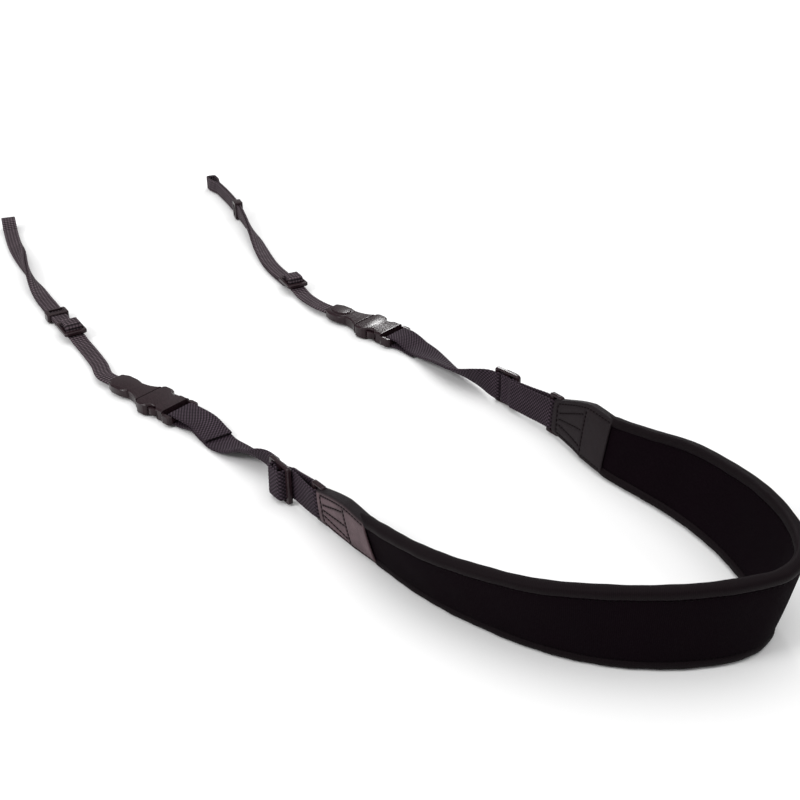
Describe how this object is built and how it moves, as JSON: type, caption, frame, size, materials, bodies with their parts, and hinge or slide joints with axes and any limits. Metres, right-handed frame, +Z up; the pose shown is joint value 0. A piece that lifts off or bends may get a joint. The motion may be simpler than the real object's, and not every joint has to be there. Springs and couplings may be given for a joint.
{
  "type": "camera neck strap",
  "caption": "Camera neck strap with a padded neck piece in a U, leather tabs, wide webbing, side-release buckles and narrow webbing with end loops.",
  "frame": {"origin": "middle of the strap's footprint, on the surface it lies on", "axes": "+X along the strap's long axis towards the bend of the neck pad, +Y towards the right arm, +Z up"},
  "size_m": [0.6619, 0.2195, 0.048],
  "materials": {
    "neoprene": "jersey-faced foam rubber, matt black",
    "edge_binding": "rolled edge tape, stitched in",
    "leather": "smooth dark leather, slightly shiny",
    "moulded_plastic": "satin moulded acetal",
    "wide_webbing": "woven nylon webbing with a plain dotted weave",
    "narrow_webbing": "woven nylon webbing with cross ribs"
  },
  "bodies": {
    "root": {"neck_pad_core": "neoprene", "upper_bound_edge": "edge_binding", "lower_bound_edge": "edge_binding", "left_leather_tab": "leather", "right_leather_tab": "leather", "left_tab_ring": "moulded_plastic", "right_tab_ring": "moulded_plastic", "left_wide_slide": "moulded_plastic", "right_wide_slide": "moulded_plastic", "left_narrow_slide": "moulded_plastic", "right_narrow_slide": "moulded_plastic", "left_narrow_keeper": "moulded_plastic", "right_narrow_keeper": "moulded_plastic", "left_buckle_female": "moulded_plastic", "right_buckle_female": "moulded_plastic", "left_buckle_male": "moulded_plastic", "right_buckle_male": "moulded_plastic", "left_wide_webbing": "wide_webbing", "right_wide_webbing": "wide_webbing", "left_narrow_webbing": "narrow_webbing", "right_narrow_webbing": "narrow_webbing"}
  },
  "joints": []
}
